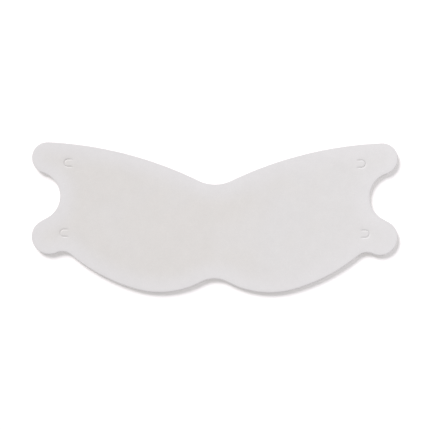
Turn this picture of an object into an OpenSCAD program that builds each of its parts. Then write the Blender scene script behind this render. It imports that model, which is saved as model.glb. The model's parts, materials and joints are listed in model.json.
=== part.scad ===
// Soft laminated eye patch that covers both eyes: one die-cut sheet with four strap tabs.
// It lies flat on its front cover. +X runs across the face, +Y towards the deep notch, +Z out of the skin side.
// Each tab has a C-shaped cut, and the small tongue inside it bends to let an elastic through.

/* [Overall] */
// Width across the side tabs
mask_w = 210; // [175:1:252]
// Height from the lowest edge of the two lobes to the top of the upper tabs
mask_h = 86; // [72:0.5:104]

/* [Tabs] */
// Radius of the upper tabs' round ends
upper_tab_r = 9; // [7.5:0.1:11]
// Radius of the lower tabs' round ends
lower_tab_r = 10.2; // [8.5:0.1:12]
// Clear gap between the upper and the lower tab on one side
tab_gap = 26; // [21:0.5:32]
// Depth of the side notch between the two tabs, from the outermost edge
side_notch_depth = 16.2; // [13:0.1:20]
// How far a lower tab's centre lies outside the flank that it grows from
lower_tab_out = 1.2; // [0:0.1:4]
// Radius of the fillet under each lower tab
under_tab_r = 7.5; // [4:0.5:10]

/* [Edges] */
// Depth of the deep notch between the two brows
deep_notch_depth = 24; // [19:0.5:29]
// Radius at the bottom of the deep notch
deep_notch_r = 21.5; // [10:0.5:30]
// Angle at which the long edge from the deep notch still rises where it meets an upper tab
brow_rise = 2.6; // [1:0.1:6]
// Depth of the shallow notch between the two lobes
shallow_notch_depth = 7.9; // [5:0.1:10]
// Radius at the bottom of the shallow notch
shallow_notch_r = 16; // [10:0.5:30]
// Radius of each lobe at its lowest edge
lobe_r = 51; // [42:0.5:58]
// Angle from a lobe's lowest point to where its flatter flank begins
flank_angle = 16; // [8:0.5:20]

/* [Layers] */
// Thickness of the front cover, on the outside
cover_t = 0.4; // [0.3:0.1:0.6]
// Thickness of the light-blocking film
film_t = 0.1; // [0.05:0.05:0.2]
// Thickness of the foam core
foam_t = 2; // [1.5:0.1:2.5]
// Thickness of the soft lining that lies on the skin
lining_t = 0.5; // [0.3:0.1:0.8]

/* [Strap slits] */
// Length of a slit's outline, from its fold line to its round end
slit_l = 5.2; // [4.4:0.1:7]
// Width of a slit's outline
slit_w = 4.6; // [3.8:0.1:6]
// Width of the cut itself
slit_kerf = 0.45; // [0.4:0.05:0.7]
// From an upper tab's centre inwards to its slit's centre
upper_slit_in = 12; // [6:0.5:16]
// From an upper tab's centre down to its slit's centre
upper_slit_drop = 3; // [-3:0.5:5]
// From a lower tab's centre inwards to its slit's centre
lower_slit_in = 8.5; // [4:0.5:14]
// From a lower tab's centre up to its slit's centre
lower_slit_rise = 2; // [-4:0.5:6]

/* [Folds] */
// Clearance round a tongue's half-round root, where it bends
root_clear = 0.3; // [0.3:0.05:0.5]
// Gap between the two halves at the centre fold
fold_gap = 0.2; // [0.1:0.05:0.5]

/* [Hidden] */

// Largest gap between a true arc of the outline and its straight segments
arc_tol = 0.02;
// Sides of a full circle in the slits and roots
round_fn = 64;
// How far a cutter runs past what it cuts
past = 1;

// Heights of the layers, from the front cover up
film_z = cover_t;
foam_z = film_z + film_t;
lining_z = foam_z + foam_t;
sheet_t = lining_z + lining_t;

left = -1;
right = 1;

// Direction of a vector, and the point at a distance and direction from a centre
function heading(v) = atan2(v[1], v[0]);
function at(centre, radius, angle) = centre + radius * [cos(angle), sin(angle)];

// Centre that lies ra from point a and rb from point b, left (turn = 1) or right (-1) of the line a-b
function centre_from(a, ra, b, rb, turn) =
    let (span = norm(b - a))
    let (along = (ra * ra - rb * rb + span * span) / (2 * span))
    let (across = sqrt(max(0, ra * ra - along * along)))
    let (u = (b - a) / span)
    a + along * u + turn * across * [-u[1], u[0]];

// Direction from circle a's centre to its end of the straight edge that crosses over to circle b
function crossing_heading(a, ra, b, rb, turn) =
    heading(b - a) + turn * acos(min(1, (ra + rb) / norm(b - a)));

// Points along an arc, from one direction to another, at most arc_tol off the true circle
function arc_points(centre, radius, from, to) =
    let (steps = max(2, ceil(abs(to - from) / (2 * acos(1 - arc_tol / radius)))))
    [for (i = [0 : steps]) at(centre, radius, from + (to - from) * i / steps)];

// Side notch that just touches a tab's round end: its radius
function notch_touching(tab_r) =
    (pow(tab_r - side_notch_depth, 2) + pow(tab_gap / 2 + tab_r, 2) - tab_r * tab_r)
    / (2 * side_notch_depth);

// Centres and radii of the arcs of the right half, clockwise from the deep notch
deep_c = [0, mask_h / 2 - deep_notch_depth + deep_notch_r];
upper_c = [mask_w / 2 - upper_tab_r, mask_h / 2 - upper_tab_r];
lower_c = [mask_w / 2 - lower_tab_r, upper_c[1] - upper_tab_r - tab_gap - lower_tab_r];
side_r = min(notch_touching(upper_tab_r), notch_touching(lower_tab_r));
side_c = [mask_w / 2 - side_notch_depth + side_r, upper_c[1] - upper_tab_r - tab_gap / 2];
shallow_c = [0, shallow_notch_depth - mask_h / 2 - shallow_notch_r];
lobe_x = sqrt(shallow_notch_depth * (2 * (lobe_r + shallow_notch_r) - shallow_notch_depth));
lobe_c = [lobe_x, lobe_r - mask_h / 2];

// Brow: touches the deep notch's arc, and runs into the upper tab's round end at brow_rise
brow_n = [-sin(brow_rise), cos(brow_rise)];
brow_reach = deep_notch_r + upper_tab_r;
to_upper = upper_c - deep_c;
brow_extra = (to_upper * to_upper - brow_reach * brow_reach) / (2 * (brow_reach + to_upper * brow_n));
brow_r = upper_tab_r + brow_extra;
brow_c = upper_c - brow_extra * brow_n;

// Flank: leaves the lobe at flank_angle and passes lower_tab_out inside the lower tab's centre
flank_n = [sin(flank_angle), -cos(flank_angle)];
tab_reach = lobe_r + lower_tab_out;
to_tab = lower_c - lobe_c;
flank_extra = (to_tab * to_tab - tab_reach * tab_reach) / (2 * (tab_reach - to_tab * flank_n));
flank_r = lobe_r + flank_extra;
flank_c = lobe_c - flank_extra * flank_n;
under_c = centre_from(lower_c, lower_tab_r + under_tab_r, flank_c, flank_r + under_tab_r, 1);

// Directions in which the arcs meet
upper_turn = crossing_heading(upper_c, upper_tab_r, side_c, side_r, 1);
lower_turn = crossing_heading(side_c, side_r, lower_c, lower_tab_r, -1);
fold_x = fold_gap / 2;

// The right half's outline, from the fold at the deep notch round to the fold at the shallow one
half_outline = concat(
    arc_points(deep_c, deep_notch_r, asin(fold_x / deep_notch_r) - 90, heading(brow_c - deep_c)),
    arc_points(brow_c, brow_r, heading(deep_c - brow_c), heading(upper_c - brow_c)),
    arc_points(upper_c, upper_tab_r, heading(upper_c - brow_c), upper_turn),
    arc_points(side_c, side_r, upper_turn + 180, lower_turn + 360),
    arc_points(lower_c, lower_tab_r, lower_turn + 180, heading(under_c - lower_c)),
    arc_points(under_c, under_tab_r, heading(lower_c - under_c), heading(flank_c - under_c)),
    arc_points(flank_c, flank_r, heading(under_c - flank_c), flank_angle - 90),
    arc_points(lobe_c, lobe_r, flank_angle - 90, heading(shallow_c - lobe_c)),
    arc_points(shallow_c, shallow_notch_r, heading(lobe_c - shallow_c), 90 - asin(fold_x / shallow_notch_r))
);

// Where each slit's fold line crosses its middle, on the right half
upper_fold = [upper_c[0] - upper_slit_in - slit_l / 2, upper_c[1] - upper_slit_drop];
lower_fold = [lower_c[0] - lower_slit_in - slit_l / 2, lower_c[1] + lower_slit_rise];
tongue_l = slit_l - slit_kerf;
tongue_w = slit_w - 2 * slit_kerf;

// Plan of a slit or a tongue: straight sides from x = back, and a round end at x = length
module tongue_plan(length, width, back) {
    translate([length - width / 2, 0]) circle(d = width, $fn = round_fn);
    translate([back, -width / 2]) square([length - width / 2 - back, width]);
}

// What one slit takes out of a half: the tongue with its kerf, and room for the tongue's root
module slit_cut() {
    translate([0, 0, -past]) linear_extrude(sheet_t + 2 * past) tongue_plan(slit_l, slit_w, 0);
    translate([0, 0, sheet_t / 2]) rotate([90, 0, 0])
        cylinder(r = sheet_t / 2 + root_clear, h = slit_w, center = true, $fn = round_fn);
}

// One layer of a half, from height z up
module half_layer(z, thickness) {
    difference() {
        translate([0, 0, z]) linear_extrude(thickness) polygon(half_outline);
        translate(upper_fold) slit_cut();
        translate(lower_fold) slit_cut();
    }
}

// Side view of one layer of a tongue: half-round at its root, straight to past its tip
module tongue_side(z, thickness) {
    intersection() {
        union() {
            translate([0, sheet_t / 2]) circle(d = sheet_t, $fn = round_fn);
            square([slit_l + past, sheet_t]);
        }
        translate([-sheet_t, z]) square([slit_l + sheet_t + 2 * past, thickness]);
    }
}

// One layer of a tongue, with its fold line at x = 0
module tongue_layer(z, thickness) {
    intersection() {
        rotate([90, 0, 0]) linear_extrude(slit_w + past, center = true) tongue_side(z, thickness);
        translate([0, 0, -past]) linear_extrude(sheet_t + 2 * past)
            tongue_plan(tongue_l, tongue_w, -sheet_t);
    }
}

// One layer of a half of the sheet, or of the tongue in its upper or lower slit
module layer(side, tab, z, thickness) {
    mirror([side == left ? 1 : 0, 0, 0]) {
        if (tab == "none") half_layer(z, thickness);
        if (tab == "upper") translate(upper_fold) tongue_layer(z, thickness);
        if (tab == "lower") translate(lower_fold) tongue_layer(z, thickness);
    }
}

// Smooth matt cover on the outside
module front_cover(side, tab = "none") {
    color("#e4e2e0") layer(side, tab, 0, cover_t);
}

// Dark film that keeps the light out
module blackout_film(side, tab = "none") {
    color("#35353a") layer(side, tab, film_z, film_t);
}

// Open-cell foam that gives the patch its body
module foam_core(side, tab = "none") {
    color("#f3efdf") layer(side, tab, foam_z, foam_t);
}

// Soft off-white non-woven that lies on the skin
module skin_lining(side, tab = "none") {
    color("#dedcdb") layer(side, tab, lining_z, lining_t);
}

front_cover(left);  // front_cover_left
front_cover(right);  // front_cover_right
front_cover(left, "upper");  // front_cover_upper_left_flap
front_cover(right, "upper");  // front_cover_upper_right_flap
front_cover(left, "lower");  // front_cover_lower_left_flap
front_cover(right, "lower");  // front_cover_lower_right_flap
blackout_film(left);  // blackout_film_left
blackout_film(right);  // blackout_film_right
blackout_film(left, "upper");  // blackout_film_upper_left_flap
blackout_film(right, "upper");  // blackout_film_upper_right_flap
blackout_film(left, "lower");  // blackout_film_lower_left_flap
blackout_film(right, "lower");  // blackout_film_lower_right_flap
foam_core(left);  // foam_core_left
foam_core(right);  // foam_core_right
foam_core(left, "upper");  // foam_core_upper_left_flap
foam_core(right, "upper");  // foam_core_upper_right_flap
foam_core(left, "lower");  // foam_core_lower_left_flap
foam_core(right, "lower");  // foam_core_lower_right_flap
skin_lining(left);  // skin_lining_left
skin_lining(right);  // skin_lining_right
skin_lining(left, "upper");  // skin_lining_upper_left_flap
skin_lining(right, "upper");  // skin_lining_upper_right_flap
skin_lining(left, "lower");  // skin_lining_lower_left_flap
skin_lining(right, "lower");  // skin_lining_lower_right_flap
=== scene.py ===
import json
import math

import bpy
import numpy as np
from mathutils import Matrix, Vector, geometry, noise


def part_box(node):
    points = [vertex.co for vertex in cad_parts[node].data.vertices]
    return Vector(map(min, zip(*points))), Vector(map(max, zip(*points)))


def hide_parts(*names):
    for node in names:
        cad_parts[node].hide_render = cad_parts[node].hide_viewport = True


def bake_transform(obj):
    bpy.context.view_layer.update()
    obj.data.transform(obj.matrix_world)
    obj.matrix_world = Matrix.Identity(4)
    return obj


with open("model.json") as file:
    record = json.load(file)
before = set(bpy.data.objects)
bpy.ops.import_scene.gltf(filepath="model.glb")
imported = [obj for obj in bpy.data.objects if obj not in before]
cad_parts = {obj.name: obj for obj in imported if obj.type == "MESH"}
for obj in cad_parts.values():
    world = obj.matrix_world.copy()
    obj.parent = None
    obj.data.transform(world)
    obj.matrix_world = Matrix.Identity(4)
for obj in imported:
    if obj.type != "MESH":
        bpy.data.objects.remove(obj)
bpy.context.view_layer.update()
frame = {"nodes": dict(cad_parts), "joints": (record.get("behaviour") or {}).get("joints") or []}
mm = 0.001   # m; sizes below are in mm unless they say otherwise
joints = {joint["name"]: joint for joint in frame["joints"]}
tabs = ["upper_left", "upper_right", "lower_left", "lower_right"]


# A colour as a picker shows it, in the linear values that Blender works in
def hexColour(text):
    channels = [int(text[i:i + 2], 16) / 255 for i in (1, 3, 5)]
    linear = [c / 12.92 if c <= 0.04045 else ((c + 0.055) / 1.055) ** 2.4 for c in channels]
    return linear + [1]


def addNode(tree, kind, settings=None, links=None):
    node = tree.nodes.new(kind)
    for name, value in (settings or {}).items():
        if isinstance(name, int) or name in node.inputs:
            node.inputs[name].default_value = value
        else:
            setattr(node, name, value)
    for name, source in (links or {}).items():
        tree.links.new(source, node.inputs[name])
    return node


def newMaterial(name, surface):
    material = bpy.data.materials.new(name)
    material.use_nodes = True
    tree = material.node_tree
    tree.nodes.clear()
    shader = addNode(tree, "ShaderNodeBsdfPrincipled", surface)
    addNode(tree, "ShaderNodeOutputMaterial", links={"Surface": shader.outputs[0]})
    place = addNode(tree, "ShaderNodeAttribute", {"attribute_name": "restPlace"})
    return material, tree, shader, place.outputs["Vector"]


outline = {
    "spacing": 1.0,          # mm between the points along the cut edge
    "fineSteps": 4,          # finer steps in each spacing, for the smoothing and for the fold
    "smoothing": 0.7,        # mm over which the joins of the solids' facets are evened out
    "rings": [0, 0.1, 0.25, 0.5, 0.9, 1.5, 2.3, 3.3, 4.5, 5.8],   # mm in from the cut edge
    "fill": 3.0,             # mm between points in the middle of the sheet
    "rowShare": 0.87,        # rows this much closer than the points in them, for even triangles
    "clear": 0.45,           # mm that the middle's points keep from the innermost ring
    "foldClear": 0.8,        # mm between the fold's straight columns and the middle's points
    "foldFill": 0.2,         # mm between points across the centre fold, where the bend is tight
    "foldRows": 0.8,         # mm between points along it
    "foldDense": 2.4,        # mm to each side of the fold where the cut edge has four times the points
}


# The loop round the top face of a solid, in mm
def topOutline(nodeName):
    mesh = frame["nodes"][nodeName].data
    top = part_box(nodeName)[1].z
    places = [tuple(round(c / mm, 4) for c in vertex.co) for vertex in mesh.vertices]
    uses = {}
    for face in mesh.polygons:
        corners = [places[i] for i in face.vertices]
        if all(abs(c[2] - top / mm) < 0.001 for c in corners):
            for a, b in zip(corners, corners[1:] + corners[:1]):
                pair = frozenset((a[:2], b[:2]))
                uses[pair] = uses.get(pair, 0) + 1
    following = {}
    for pair in [p for p, count in uses.items() if count == 1 and len(p) == 2]:
        for point in pair:
            following.setdefault(point, []).extend(pair - {point})
    point = max(following)   # the outline is the loop that reaches furthest out
    loop = [point]
    before = None
    while len(loop) < 2 or point != loop[0]:
        point, before = next(p for p in following[point] if p != before), point
        loop.append(point)
    return np.array(loop[:-1])


def evenly(points, spacing):
    steps = np.hypot(*np.diff(points, axis=0).T)
    along = np.concatenate([[0], np.cumsum(steps)])
    count = max(2, round(along[-1] / spacing))
    wanted = np.linspace(0, along[-1], count + 1)
    return np.column_stack([np.interp(wanted, along, points[:, i]) for i in (0, 1)])


# Both halves joined into one smooth loop, which runs anticlockwise
def sheetOutline():
    loop = topOutline("skin_lining_right")
    foldX = loop[:, 0].min()
    onFold = 0.01   # mm
    atFold = np.flatnonzero(loop[:, 0] < foldX + onFold)
    low = atFold[np.argmin(loop[atFold, 1])]
    loop = np.roll(loop, -low, axis=0)
    if loop[1, 0] < foldX + onFold:   # the fold line came first, so the loop runs the other way
        loop = np.roll(loop[::-1], 1, axis=0)
    loop[[0, -1], 0] = 0            # both ends go to the centre line
    whole = np.vstack([loop, (loop * [-1, 1])[::-1][1:]])
    fineSpacing = outline["spacing"] / outline["fineSteps"]
    fine = evenly(whole, fineSpacing)[:-1]
    reach = 3 * outline["fineSteps"]   # the weights have faded out by there
    shifts = np.arange(-reach, reach + 1)
    weights = np.exp(-(shifts * fineSpacing / outline["smoothing"]) ** 2)
    smooth = sum(w * np.roll(fine, shift, axis=0) for w, shift in zip(weights / weights.sum(), shifts))
    atFold = abs(smooth[:, 0]) < outline["foldDense"]
    order = np.arange(len(smooth))
    return smooth[(order % outline["fineSteps"] == 0) | atFold]


def inwardOf(loop):
    along = np.roll(loop, -1, axis=0) - np.roll(loop, 1, axis=0)
    along /= np.hypot(*along.T)[:, None]
    return np.column_stack([-along[:, 1], along[:, 0]])   # to the left of the way it runs


def isInside(points, loop):
    inside = np.zeros(len(points), bool)
    for a, b in zip(loop, np.roll(loop, -1, axis=0)):
        if a[1] != b[1]:
            crosses = (a[1] > points[:, 1]) != (b[1] > points[:, 1])
            crossingX = a[0] + (points[:, 1] - a[1]) * (b[0] - a[0]) / (b[1] - a[1])
            inside ^= crosses & (points[:, 0] < crossingX)
    return inside


def distanceTo(points, loop, closed=True):
    nearest = np.full(len(points), np.inf)
    ends = np.roll(loop, -1, axis=0) if closed else loop[1:]
    for a, b in zip(loop, ends):
        span = b - a
        share = np.clip(((points - a) @ span) / (span @ span), 0, 1)
        nearest = np.minimum(nearest, np.hypot(*(points - a - share[:, None] * span).T))
    return nearest


cut = {
    "gap": 0.06,             # mm left open, because the cut foam swells back
    "search": 4.0,           # mm to each side of the tongue's middle that still belong to its slit
    "spacing": 0.4,          # mm between points
    "rings": [0, 0.12, 0.3, 0.55, 0.9],   # mm away from the cut
    "fill": 0.5,             # mm between points in the middle of a tongue
    "clear": 0.15,           # mm that they keep from its innermost ring
    "lip": 0.2,              # mm that the lining dips at the cut
    "lipReach": 0.9,         # mm over which it dips
    "fadeIn": 1.2,           # mm from the fold line to where the lip is full
    "bendLength": 2.0,       # mm of a tongue, from its fold line, that bend
}


# Where a tab's cut lies and how big it is, in mm from its fold line
def cutPlace(tab):
    pivot = Vector(joints[tab + "_flap_bend"]["pos_m"]) / mm
    low, high = (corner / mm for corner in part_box(f"skin_lining_{tab}_flap"))
    side = -1 if "left" in tab else 1
    corners = [vertex.co / mm for vertex in frame["nodes"]["skin_lining_" + tab.split("_")[1]].data.vertices]
    slit = [c.y for c in corners if low.x < c.x < high.x and abs(c.y - pivot.y) < cut["search"]]
    kerf = max(slit) - high.y   # the solid's slit is wider than its tongue by this all round
    tip = side * (high.x if side > 0 else low.x)
    return {"side": side, "fold": abs(pivot.x), "y": pivot.y, "half": high.y - pivot.y + kerf / 2,
            "length": tip - abs(pivot.x) + kerf / 2}


def cutLine(place, grow):
    half = place["half"] + grow
    straight = place["length"] - place["half"]
    steps = max(8, round(math.pi * place["half"] / cut["spacing"]))
    turn = np.radians(np.linspace(-90, 90, steps + 1))
    end = np.column_stack([straight + half * np.cos(turn), half * np.sin(turn)])
    side = evenly(np.array([[0, -half], [straight, -half]]), cut["spacing"])[:-1]
    return np.vstack([side, end, (side * [1, -1])[::-1]])   # from the fold line round the end and back


def onSheet(points, place):
    return np.column_stack([place["side"] * (points[:, 0] + place["fold"]), points[:, 1] + place["y"]])


def holeLoop(place):
    line = cutLine(place, cut["gap"] / 2)
    fold = evenly(line[[-1, 0]], cut["spacing"])[1:-1]
    loop = onSheet(np.vstack([line, fold]), place)
    return loop[::-1] if place["side"] > 0 else loop   # clockwise, so the sheet lies to its left


def ringFaces(start, n, rings, closed):
    return [(start + k * n + i, start + k * n + (i + 1) % n,
             start + (k + 1) * n + (i + 1) % n, start + (k + 1) * n + i)
            for k in range(rings - 1) for i in range(n if closed else n - 1)]


# Triangles between the rims: the first rim is the outer one, the others are holes
def middleOf(points, rims, fill, clear):
    loops = [points[rim] for rim in rims]
    keep = isInside(fill, loops[0]) & (distanceTo(fill, loops[0]) > clear)
    for loop in loops[1:]:
        keep &= ~isInside(fill, loop) & (distanceTo(fill, loop) > clear)
    fill = fill[keep]
    edges = []
    index = []
    for rim in rims:
        start = len(index)
        edges += [(start + i, start + (i + 1) % len(rim)) for i in range(len(rim))]
        index += rim
    flat = [Vector(point) for point in np.vstack([points[index], fill])]
    index += range(len(points), len(points) + len(fill))
    insideOnly = 1
    nearest = 1e-5   # mm, points closer than this count as one
    found = geometry.delaunay_2d_cdt(flat, edges, [], insideOnly, nearest)
    triangles, origins = found[2:4]
    names = np.array([index[origin[0]] for origin in origins])
    points = np.vstack([points, fill])
    faces = names[np.array(triangles)]
    centres = points[faces].mean(axis=1)
    inside = isInside(centres, loops[0])
    for loop in loops[1:]:
        inside &= ~isInside(centres, loop)
    faces = faces[inside]
    a, b, c = (points[faces[:, i]] for i in range(3))
    turned = (b - a)[:, 0] * (c - a)[:, 1] < (b - a)[:, 1] * (c - a)[:, 0]
    faces[turned] = faces[turned][:, ::-1]
    return points, [tuple(face) for face in faces.tolist()]


# Rings of quads along every edge, and a triangulated middle
def sheetPlanOf(loops, offsets, fill):
    points = []
    faces = []
    walls = []
    rims = []
    total = 0
    for loop, steps in zip(loops, offsets):
        n = len(loop)
        inward = inwardOf(loop)
        points += [loop + step * inward for step in steps]
        faces += ringFaces(total, n, len(steps), True)
        walls.append(list(range(total, total + n)))
        total += len(steps) * n
        rims.append(list(range(total - n, total)))
    points, middle = middleOf(np.vstack(points), rims, fill, outline["clear"])
    return {"points": points, "faces": faces + middle, "walls": walls}


# Open rings inside the cut, from one end of the fold line to the other
def tonguePlanOf(place, fill):
    rings = [cutLine(place, -cut["gap"] / 2 - step) for step in cut["rings"]]
    n = len(rings[0])
    k = len(rings)
    fold = evenly(rings[-1][[-1, 0]], cut["spacing"])[1:-1]
    foldIndex = list(range(k * n, k * n + len(fold)))
    rim = list(range((k - 1) * n, k * n)) + foldIndex
    points, middle = middleOf(np.vstack(rings + [fold]), [rim], fill, cut["clear"])
    faces = ringFaces(0, n, k, False) + middle
    lastEnds = [ring * n + n - 1 for ring in range(1, k)]
    firstEnds = [ring * n for ring in range(k - 1, 0, -1)]
    wall = list(range(n)) + lastEnds + foldIndex + firstEnds
    if place["side"] < 0:   # mirrored, so everything runs the other way
        faces = [face[::-1] for face in faces]
        wall = wall[::-1]
    return {"points": onSheet(points, place), "faces": faces, "walls": [wall]}


# Points in rows, every other row shifted by half a step
def grid(xs, ys):
    rows = []
    between = (xs[1:] + xs[:-1]) / 2
    for k, y in enumerate(ys):
        line = xs if k % 2 else between
        rows.append(np.column_stack([line, np.full(len(line), y)]))
    return np.vstack(rows)


sheet = {
    "thin": 0.016,           # share of the thickness lost at the pressed edge
    "pressed": 2.0,          # mm over which the die pressed it
    "pressPower": 2.2,       # how sharply it falls off there
    "cornerRadius": 0.2,     # mm, rounded top corner of the lining
    "waves": [(52, 0.05, 3.1), (27, 0.03, 11.7), (13, 0.01, 23.4)],   # mm long, mm high, seed
    "wallBow": 0.15,         # mm that the cut foam draws in between its skins
    "wallRows": (0.06, 0.3, 0.7, 0.94),   # shares of its height where the foam's wall has points
    "bowPower": 0.6,         # below 1, the wall is flatter in its middle
    "sharpAngle": 38,        # degrees between faces from which an edge stays sharp
    "foldReach": 1.6,        # mm to each side of the centre line that bend in the fold
}


def topHeight(points, edgeGap, lip):
    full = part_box("skin_lining_left")[1].z / mm
    into = np.clip(1 - edgeGap / sheet["pressed"], 0, 1)
    height = full * (1 - sheet["thin"] * into ** sheet["pressPower"]) - lip
    for length, high, seed in sheet["waves"]:
        wave = [noise.noise(Vector((x / length, y / length, seed))) for x, y in points]
        height += high * (np.array(wave) - 0.5)
    return height


def cornerDrop(edgeGap):
    r = sheet["cornerRadius"]
    short = np.clip(r - edgeGap, 0, r)
    return r - np.sqrt(r * r - short * short)


def lipAt(points, place, toCut):
    outward = place["side"] * points[:, 0] - place["fold"]
    fade = np.clip(outward / cut["fadeIn"], 0, 1)
    fade = fade * fade * (3 - 2 * fade)
    return cut["lip"] * fade * np.clip(1 - toCut / cut["lipReach"], 0, 1) ** 2


def keepRestPlace(mesh):
    # the patterns read this attribute, so they stay on the cloth when it folds
    rest = mesh.attributes.new("restPlace", "FLOAT_VECTOR", "POINT")
    places = np.array([vertex.co[:] for vertex in mesh.vertices], np.float32)
    rest.data.foreach_set("vector", places.ravel())


# One layer as a closed mesh: the plan at two heights, with walls along its edges
def layerMesh(name, plan, low, high, bow, edgeGap):
    points = plan["points"]
    n = len(points)
    vertices = [np.column_stack([points, high]), np.column_stack([points, low])]
    faces = list(plan["faces"]) + [tuple(n + i for i in face[::-1]) for face in plan["faces"]]
    total = 2 * n
    for loop in plan["walls"]:
        rows = [loop]
        if bow:
            inward = inwardOf(points[loop])
            for share in sheet["wallRows"]:
                pull = bow * math.sin(math.pi * share) ** sheet["bowPower"]
                height = high[loop] + (low[loop] - high[loop]) * share
                vertices.append(np.column_stack([points[loop] + pull * inward, height]))
                rows.append(list(range(total, total + len(loop))))
                total += len(loop)
        rows.append([n + i for i in loop])
        for upper, lower in zip(rows, rows[1:]):
            for i in range(len(loop)):
                j = (i + 1) % len(loop)
                faces.append((upper[i], lower[i], lower[j], upper[j]))
    vertices = np.vstack(vertices) * mm
    mesh = bpy.data.meshes.new(name)
    mesh.from_pydata(vertices.tolist(), [], faces)
    mesh.validate()
    keepRestPlace(mesh)
    gap = np.zeros(len(vertices), np.float32)
    gap[:n] = edgeGap
    gap[n:2 * n] = edgeGap
    mesh.attributes.new("edgeGap", "FLOAT", "POINT").data.foreach_set("value", gap)
    mesh.shade_smooth()
    mesh.set_sharp_from_angle(angle=math.radians(sheet["sharpAngle"]))
    piece = bpy.data.objects.new(name, mesh)
    bpy.context.scene.collection.objects.link(piece)
    return piece


lining = {
    "warm": "#DEDAD8",       # undyed viscose, a shade warmer: in faint patches, and on the left, away from the painted cool light
    "plain": "#DFDCDC",      # the other faint patches, and painted light: lighter and cooler towards the right-hand side
    "coolLightDriftMm": (0, 50),      # across the sheet (x, mm), painted light: the colour goes from warm to plain between these
    "rim": "#E2DFE0",        # painted light: lighter and cooler towards the cut edge
    "litRimMm": (1, 14),        # from the edge, where the painted light of the rim starts and ends fading
    "cloudMm": 24,           # size of the faint patches
    "formationMm": 7,        # size of the unevenness in how the web was laid
    "fibreMm": 5.0,          # length of the fibres that show
    "fibreWidthMm": 0.22,    # real ones are 0.015 mm wide, so they are drawn as bundles that show
    "fibreTurns": (8, 67, 128),   # degrees, the ways in which they lie
    "curlMm": (2.5, 1.6),    # length and reach of their curls
    "reliefMm": 0.03,
    "roughness": 0.92,
}


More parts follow.
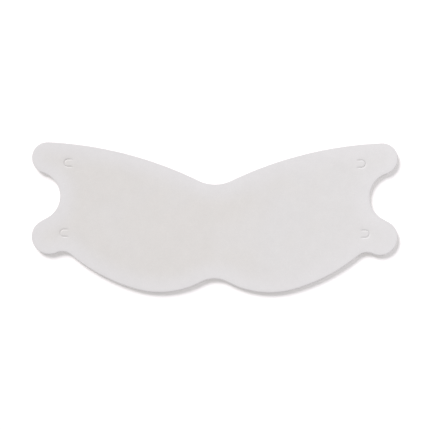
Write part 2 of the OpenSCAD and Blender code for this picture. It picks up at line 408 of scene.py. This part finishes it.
def spunlaceLining():
    # Water-entangled viscose web: matt, a little cloudy, with short fibres lying every way.
    material, tree, shader, place = newMaterial("spunlace_viscose", {
        "Roughness": lining["roughness"], "IOR": 1.47, "Specular IOR Level": 0.3,
        "Sheen Weight": 0.12, "Sheen Roughness": 0.6})
    clouds = addNode(tree, "ShaderNodeTexNoise",
                     {"Scale": 1 / (lining["cloudMm"] * mm), "Detail": 2, "Roughness": 0.45},
                     {"Vector": place})
    formation = addNode(tree, "ShaderNodeTexNoise",
                        {"Scale": 1 / (lining["formationMm"] * mm), "Detail": 4, "Roughness": 0.6},
                        {"Vector": place})
    split = addNode(tree, "ShaderNodeSeparateXYZ", links={0: place})
    # painted light: the lining turns lighter and cooler towards +x, standing in for the cool fill light on
    # that side; the patches add random tone on top
    coolLightDrift = addNode(tree, "ShaderNodeMapRange",
                    {"From Min": lining["coolLightDriftMm"][0] * mm, "From Max": lining["coolLightDriftMm"][1] * mm},
                    {"Value": split.outputs[0]})
    patches = addNode(tree, "ShaderNodeMapRange",
                      {"From Min": 0.35, "From Max": 0.65, "To Min": -0.3, "To Max": 0.3},
                      {"Value": clouds.outputs["Fac"]})
    lightDriftAndPatches = addNode(tree, "ShaderNodeMath", {"operation": "ADD", "use_clamp": True},
                    {0: coolLightDrift.outputs[0], 1: patches.outputs[0]})
    colour = addNode(tree, "ShaderNodeMix",
                     {"data_type": "RGBA", 6: hexColour(lining["warm"]), 7: hexColour(lining["plain"])},
                     {0: lightDriftAndPatches.outputs[0]})
    density = addNode(tree, "ShaderNodeMapRange",
                      {"From Min": 0.3, "From Max": 0.7, "To Min": 0.985, "To Max": 1.012},
                      {"Value": formation.outputs["Fac"]})
    wander = addNode(tree, "ShaderNodeTexNoise", {"Scale": 1 / (lining["curlMm"][0] * mm), "Detail": 1},
                     {"Vector": place})
    curlReach = (lining["curlMm"][1] * mm,) * 3
    bent = addNode(tree, "ShaderNodeVectorMath", {"operation": "MULTIPLY_ADD", 1: curlReach},
                   {0: wander.outputs["Color"], 2: place})
    fibreScale = [1 / (lining[key] * mm) for key in ("fibreMm", "fibreWidthMm", "fibreWidthMm")]
    strands = None
    for turn in lining["fibreTurns"]:
        turned = addNode(tree, "ShaderNodeMapping", {"Rotation": (0, 0, math.radians(turn))},
                         {"Vector": bent.outputs[0]})
        drawn = addNode(tree, "ShaderNodeMapping", {"Scale": fibreScale}, {"Vector": turned.outputs[0]})
        web = addNode(tree, "ShaderNodeTexNoise", {"Scale": 1, "Detail": 2, "Distortion": 0.6},
                      {"Vector": drawn.outputs[0]})
        if strands is None:
            strands = web.outputs["Fac"]
        else:
            strands = addNode(tree, "ShaderNodeMath", {"operation": "MAXIMUM"},
                              {0: strands, 1: web.outputs["Fac"]}).outputs[0]
    fibre = addNode(tree, "ShaderNodeMapRange",
                    {"From Min": 0.45, "From Max": 0.75, "To Min": 0.965, "To Max": 1.03}, {"Value": strands})
    # painted light: near the cut edge the lining turns to the lighter, cooler rim colour, standing in for
    # cool light from the sides
    gap = addNode(tree, "ShaderNodeAttribute", {"attribute_name": "edgeGap"})
    inner = addNode(tree, "ShaderNodeMapRange",
                    {"interpolation_type": "SMOOTHSTEP", "From Min": lining["litRimMm"][0],
                     "From Max": lining["litRimMm"][1]}, {"Value": gap.outputs["Fac"]})
    colour = addNode(tree, "ShaderNodeMix", {"data_type": "RGBA", 6: hexColour(lining["rim"])},
                     {0: inner.outputs[0], 7: colour.outputs[2]})
    pressed = addNode(tree, "ShaderNodeMapRange",
                      {"From Min": 0, "From Max": 1.6, "To Min": 0.97, "To Max": 1.0},
                      {"Value": gap.outputs["Fac"]})
    shades = addNode(tree, "ShaderNodeMath", {"operation": "MULTIPLY"},
                     {0: density.outputs[0], 1: fibre.outputs[0]})
    shades = addNode(tree, "ShaderNodeMath", {"operation": "MULTIPLY"},
                     {0: shades.outputs[0], 1: pressed.outputs[0]})
    tone = addNode(tree, "ShaderNodeVectorMath", {"operation": "SCALE"},
                   {0: colour.outputs[2], "Scale": shades.outputs[0]})
    tree.links.new(tone.outputs[0], shader.inputs["Base Color"])
    bump = addNode(tree, "ShaderNodeBump", {"Strength": 1, "Distance": lining["reliefMm"] * mm},
                   {"Height": strands})
    tree.links.new(bump.outputs[0], shader.inputs["Normal"])
    return material


foam = {
    "wall": "#DDD8CD",       # polyurethane, slightly yellow beside the skins
    "pit": "#CBC5B9",        # the shade inside the open cells
    "cellMm": 0.36,
    "unevenMm": 2.5,         # size of the patches where the cells are deeper
    "reliefMm": 0.05,
    "roughness": 0.85,
}


def openCellFoam():
    # Open-cell polyurethane foam, die-cut: a dull porous wall of cells of a third of a millimetre.
    material, tree, shader, place = newMaterial("open_cell_foam", {
        "Roughness": foam["roughness"], "IOR": 1.5, "Specular IOR Level": 0.25})
    cells = addNode(tree, "ShaderNodeTexVoronoi",
                    {"feature": "F1", "Scale": 1 / (foam["cellMm"] * mm), "Randomness": 0.9},
                    {"Vector": place})
    uneven = addNode(tree, "ShaderNodeTexNoise", {"Scale": 1 / (foam["unevenMm"] * mm), "Detail": 2},
                     {"Vector": place})
    depth = addNode(tree, "ShaderNodeMath", {"operation": "MULTIPLY"},
                    {0: cells.outputs["Distance"], 1: uneven.outputs["Fac"]})
    solid = addNode(tree, "ShaderNodeMapRange", {"From Min": 0.1, "From Max": 0.4},
                    {"Value": depth.outputs[0]})
    colour = addNode(tree, "ShaderNodeMix",
                     {"data_type": "RGBA", 6: hexColour(foam["pit"]), 7: hexColour(foam["wall"])},
                     {0: solid.outputs[0]})
    tree.links.new(colour.outputs[2], shader.inputs["Base Color"])
    bump = addNode(tree, "ShaderNodeBump", {"Strength": 1, "Distance": foam["reliefMm"] * mm},
                   {"Height": solid.outputs[0]})
    tree.links.new(bump.outputs[0], shader.inputs["Normal"])
    return material


film = {
    "dark": "#232427",       # carbon-filled, and a little lighter on its ripples
    "light": "#34353A",
    "rippleMm": 3.0,
    "reliefMm": 0.01,
    "roughness": 0.38,
}


def blackoutFilm():
    # Blown polyethylene film filled with carbon: a satin dark line in the cut edge, slightly rippled.
    material, tree, shader, place = newMaterial("carbon_polyethylene_film", {
        "Roughness": film["roughness"], "IOR": 1.51})
    ripple = addNode(tree, "ShaderNodeTexNoise", {"Scale": 1 / (film["rippleMm"] * mm), "Detail": 3},
                     {"Vector": place})
    colour = addNode(tree, "ShaderNodeMix",
                     {"data_type": "RGBA", 6: hexColour(film["dark"]), 7: hexColour(film["light"])},
                     {0: ripple.outputs["Fac"]})
    tree.links.new(colour.outputs[2], shader.inputs["Base Color"])
    bump = addNode(tree, "ShaderNodeBump", {"Strength": 1, "Distance": film["reliefMm"] * mm},
                   {"Height": ripple.outputs["Fac"]})
    tree.links.new(bump.outputs[0], shader.inputs["Normal"])
    return material


cover = {
    "yarn": "#E4E1DF",
    "between": "#C9C6C4",    # the shade between the ribs
    "waleMm": 0.9,           # a 28-gauge tricot has its ribs this far apart
    "courseMm": 0.7,         # one loop along its rib
    "leanShare": 0.18,       # how far the loops lean, as a share of a rib
    "fuzzMm": 0.3,           # size of the loose filaments on top
    "reliefMm": 0.05,
    "roughness": 0.78,
}


def tricotCover():
    # Warp-knitted polyester tricot: smooth ribs of slanting loops with a soft sheen.
    material, tree, shader, place = newMaterial("polyester_tricot", {
        "Roughness": cover["roughness"], "IOR": 1.55, "Specular IOR Level": 0.35,
        "Sheen Weight": 0.2, "Sheen Roughness": 0.45})
    split = addNode(tree, "ShaderNodeSeparateXYZ", links={0: place})
    rows = addNode(tree, "ShaderNodeMath", {"operation": "MULTIPLY", 1: math.tau / (cover["courseMm"] * mm)},
                   {0: split.outputs[1]})
    swing = addNode(tree, "ShaderNodeMath", {"operation": "SINE"}, {0: rows.outputs[0]})
    leanReach = cover["leanShare"] * cover["waleMm"] * mm
    lean = addNode(tree, "ShaderNodeMath", {"operation": "MULTIPLY", 1: leanReach}, {0: swing.outputs[0]})
    across = addNode(tree, "ShaderNodeMath", {"operation": "ADD"}, {0: split.outputs[0], 1: lean.outputs[0]})
    wales = addNode(tree, "ShaderNodeMath", {"operation": "MULTIPLY", 1: math.pi / (cover["waleMm"] * mm)},
                    {0: across.outputs[0]})
    wave = addNode(tree, "ShaderNodeMath", {"operation": "SINE"}, {0: wales.outputs[0]})
    ribs = addNode(tree, "ShaderNodeMath", {"operation": "ABSOLUTE"}, {0: wave.outputs[0]})
    loops = addNode(tree, "ShaderNodeMapRange", {"From Min": -1, "From Max": 1, "To Min": 0.7, "To Max": 1},
                    {"Value": swing.outputs[0]})
    knit = addNode(tree, "ShaderNodeMath", {"operation": "MULTIPLY"},
                   {0: ribs.outputs[0], 1: loops.outputs[0]})
    fuzz = addNode(tree, "ShaderNodeTexNoise", {"Scale": 1 / (cover["fuzzMm"] * mm), "Detail": 3},
                   {"Vector": place})
    raised = addNode(tree, "ShaderNodeMath", {"operation": "MULTIPLY_ADD", 1: 0.25},
                     {0: fuzz.outputs["Fac"], 2: knit.outputs[0]})
    shown = addNode(tree, "ShaderNodeMapRange", {"From Min": 0.1, "From Max": 0.9},
                    {"Value": raised.outputs[0]})
    colour = addNode(tree, "ShaderNodeMix",
                     {"data_type": "RGBA", 6: hexColour(cover["between"]), 7: hexColour(cover["yarn"])},
                     {0: shown.outputs[0]})
    tree.links.new(colour.outputs[2], shader.inputs["Base Color"])
    bump = addNode(tree, "ShaderNodeBump", {"Strength": 1, "Distance": cover["reliefMm"] * mm},
                   {"Height": raised.outputs[0]})
    tree.links.new(bump.outputs[0], shader.inputs["Normal"])
    return material


layers = ["front_cover", "blackout_film", "foam_core", "skin_lining"]   # from the table up
finishes = {"front_cover": tricotCover(), "blackout_film": blackoutFilm(),
            "foam_core": openCellFoam(), "skin_lining": spunlaceLining()}
print("materials", [material.name for material in finishes.values()])


# Only the foam gives: the cover and film stay flat, and the lining follows the sheet's top
def layerHeights(layer, top, drop):
    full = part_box("skin_lining_left")[1].z / mm
    low, high = (corner.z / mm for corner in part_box(layer + "_left"))
    under = np.full(len(top), low)
    over = np.full(len(top), high)
    if layer == "foam_core":
        over = top + high - full
    if layer == "skin_lining":
        under = top + low - full
        over = top - drop
    return under, over


edge = sheetOutline()
places = {tab: cutPlace(tab) for tab in tabs}
holes = {tab: holeLoop(places[tab]) for tab in tabs}
print("outline", len(edge), "points, cuts", {tab: round(2 * places[tab]["half"], 2) for tab in tabs})

lowest = edge.min(axis=0)
highest = edge.max(axis=0)
fill = grid(np.arange(lowest[0], highest[0], outline["fill"]),
            np.arange(lowest[1], highest[1], outline["fill"] * outline["rowShare"]))
fill = fill[abs(fill[:, 0]) > outline["foldDense"] + outline["foldClear"]]
foldSteps = round(2 * outline["foldDense"] / outline["foldFill"])
foldColumns = np.linspace(-outline["foldDense"], outline["foldDense"], foldSteps + 1)
foldGrid = np.meshgrid(foldColumns, np.arange(lowest[1], highest[1], outline["foldRows"]))
fill = np.vstack([fill, np.column_stack([axis.ravel() for axis in foldGrid])])   # straight along the fold
loops = [edge] + [holes[tab] for tab in tabs]
offsets = [outline["rings"]] + [cut["rings"]] * len(tabs)
sheetPlan = sheetPlanOf(loops, offsets, fill)
sheetPoints = sheetPlan["points"]
print("plan", len(sheetPoints), "points")

edgeGap = distanceTo(sheetPoints, edge)
edgeGap[:len(edge)] = 0   # the first ring is the edge itself
lip = np.zeros(len(sheetPoints))
for tab in tabs:
    lip += lipAt(sheetPoints, places[tab], distanceTo(sheetPoints, holes[tab]))
sheetTop = topHeight(sheetPoints, edgeGap, lip)
drop = cornerDrop(edgeGap)

for layer in layers:
    low, high = layerHeights(layer, sheetTop, drop)
    bow = sheet["wallBow"] if layer == "foam_core" else 0
    piece = layerMesh(layer, sheetPlan, low, high, bow, edgeGap)
    piece.data.materials.append(finishes[layer])
    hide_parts(layer + "_left", layer + "_right")
    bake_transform(piece)
    print("layer", layer, len(piece.data.polygons), "faces")

tongues = {layer: [] for layer in layers}
for tab in tabs:
    place = places[tab]
    fill = grid(np.arange(cut["spacing"], place["length"], cut["fill"]),
                np.arange(-place["half"], place["half"], cut["fill"]))
    plan = tonguePlanOf(place, fill)
    points = plan["points"]
    toCut = distanceTo(points, onSheet(cutLine(place, -cut["gap"] / 2), place), closed=False)
    gap = distanceTo(points, edge)
    top = topHeight(points, gap, lipAt(points, place, toCut))
    for layer in layers:
        low, high = layerHeights(layer, top, 0)
        piece = layerMesh(f"{layer}_{tab}_tongue", plan, low, high, 0, gap)
        piece.data.materials.append(finishes[layer])
        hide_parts(f"{layer}_{tab}_flap")
        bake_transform(piece)
        tongues[layer].append(piece)
print("tongues", sum(len(made) for made in tongues.values()))


studio = {
    "floor": "#EEE9EB",
    "grainMm": 1.5,          # size of the paper's grain
    "floorGlow": 0.27,       # keeps the paper white round the patch
    "floorReach": 1.2,       # m from the middle to each side of the paper
    "lens": 120,             # mm
    "sensor": 36,            # mm
    "frameMm": 246.6,        # mm of the patch's plane across the frame
    "aimMm": (0.16, 1.4),    # where the camera stands over the patch
    "roll": 0.19,            # degrees
    "keyTowards": (-0.56, 0.83),    # x and y, the side of the table that it stands on
    "keyUp": 40,             # degrees above the table
    "keyAcross": 26,         # degrees, as seen from the patch
    "keyShare": 0.61,        # its share of the light on the table
    "fillPlace": (0.6, 0.3, 0.4),   # m
    "fillAcross": 0.4,       # m
    "fillWatts": 0.95,
    "fillColour": "#F2F6FA",        # a little cooler than the key
    "ambient": 0.335,        # light from all round
}


def paperFloor():
    # Uncoated white paper: matt, with a grain that hardly shows.
    material, tree, shader, place = newMaterial("white_paper", {"Roughness": 0.95, "IOR": 1.45})
    grain = addNode(tree, "ShaderNodeTexNoise", {"Scale": 1 / (studio["grainMm"] * mm), "Detail": 2},
                    {"Vector": place})
    tone = addNode(tree, "ShaderNodeMapRange", {"To Min": 0.985, "To Max": 1.0},
                   {"Value": grain.outputs["Fac"]})
    base = addNode(tree, "ShaderNodeVectorMath", {"operation": "SCALE", 0: hexColour(studio["floor"])[:3]},
                   {"Scale": tone.outputs[0]})
    tree.links.new(base.outputs[0], shader.inputs["Base Color"])
    shader.inputs["Emission Color"].default_value = (1, 1, 1, 1)
    shader.inputs["Emission Strength"].default_value = studio["floorGlow"]
    return material


reach = studio["floorReach"]
corners = [(-reach, -reach, 0), (reach, -reach, 0), (reach, reach, 0), (-reach, reach, 0)]
mesh = bpy.data.meshes.new("paper_floor")
mesh.from_pydata(corners, [], [(0, 1, 2, 3)])
keepRestPlace(mesh)
mesh.materials.append(paperFloor())
floor = bpy.data.objects.new("paper_floor", mesh)
bpy.context.scene.collection.objects.link(floor)

world = bpy.data.worlds.new("studio")
bpy.context.scene.world = world
world.use_nodes = True
tree = world.node_tree
tree.nodes.clear()
seen = addNode(tree, "ShaderNodeLightPath")
strength = addNode(tree, "ShaderNodeMapRange", {"To Min": studio["ambient"], "To Max": 1.0},
                   {"Value": seen.outputs["Is Camera Ray"]})
back = addNode(tree, "ShaderNodeBackground", {"Color": (1, 1, 1, 1)}, {"Strength": strength.outputs[0]})
addNode(tree, "ShaderNodeOutputWorld", links={"Surface": back.outputs[0]})


def studioLight(name, kind, place, strength, size, colour="#FFFFFF"):
    data = bpy.data.lights.new(name, kind)
    data.energy = strength
    data.color = hexColour(colour)[:3]
    if kind == "SUN":
        data.angle = size
    else:
        data.shape = "DISK"
        data.size = size
    light = bpy.data.objects.new(name, data)
    light.location = place
    light.rotation_euler = (-Vector(place)).to_track_quat("-Z", "Y").to_euler()
    bpy.context.scene.collection.objects.link(light)


keyUp = math.radians(studio["keyUp"])
keySide = Vector(studio["keyTowards"]).normalized() * math.cos(keyUp)
studioLight("key_light", "SUN", (keySide.x, keySide.y, math.sin(keyUp)),
            studio["keyShare"] * math.pi / math.sin(keyUp), math.radians(studio["keyAcross"]))
studioLight("fill_light", "AREA", studio["fillPlace"], studio["fillWatts"], studio["fillAcross"],
            studio["fillColour"])

lens = bpy.data.cameras.new("camera")
lens.type = "PERSP"
lens.lens = studio["lens"]
lens.sensor_width = studio["sensor"]
camera = bpy.data.objects.new("camera", lens)
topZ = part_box("skin_lining_left")[1].z
cameraHeight = studio["frameMm"] * mm * studio["lens"] / studio["sensor"]
camera.location = (studio["aimMm"][0] * mm, studio["aimMm"][1] * mm, topZ + cameraHeight)
camera.rotation_euler = (0, 0, math.radians(studio["roll"]))
bpy.context.scene.collection.objects.link(camera)
bpy.context.scene.camera = camera
bpy.context.scene.view_settings.view_transform = "Standard"
print("floor, light and camera ready")
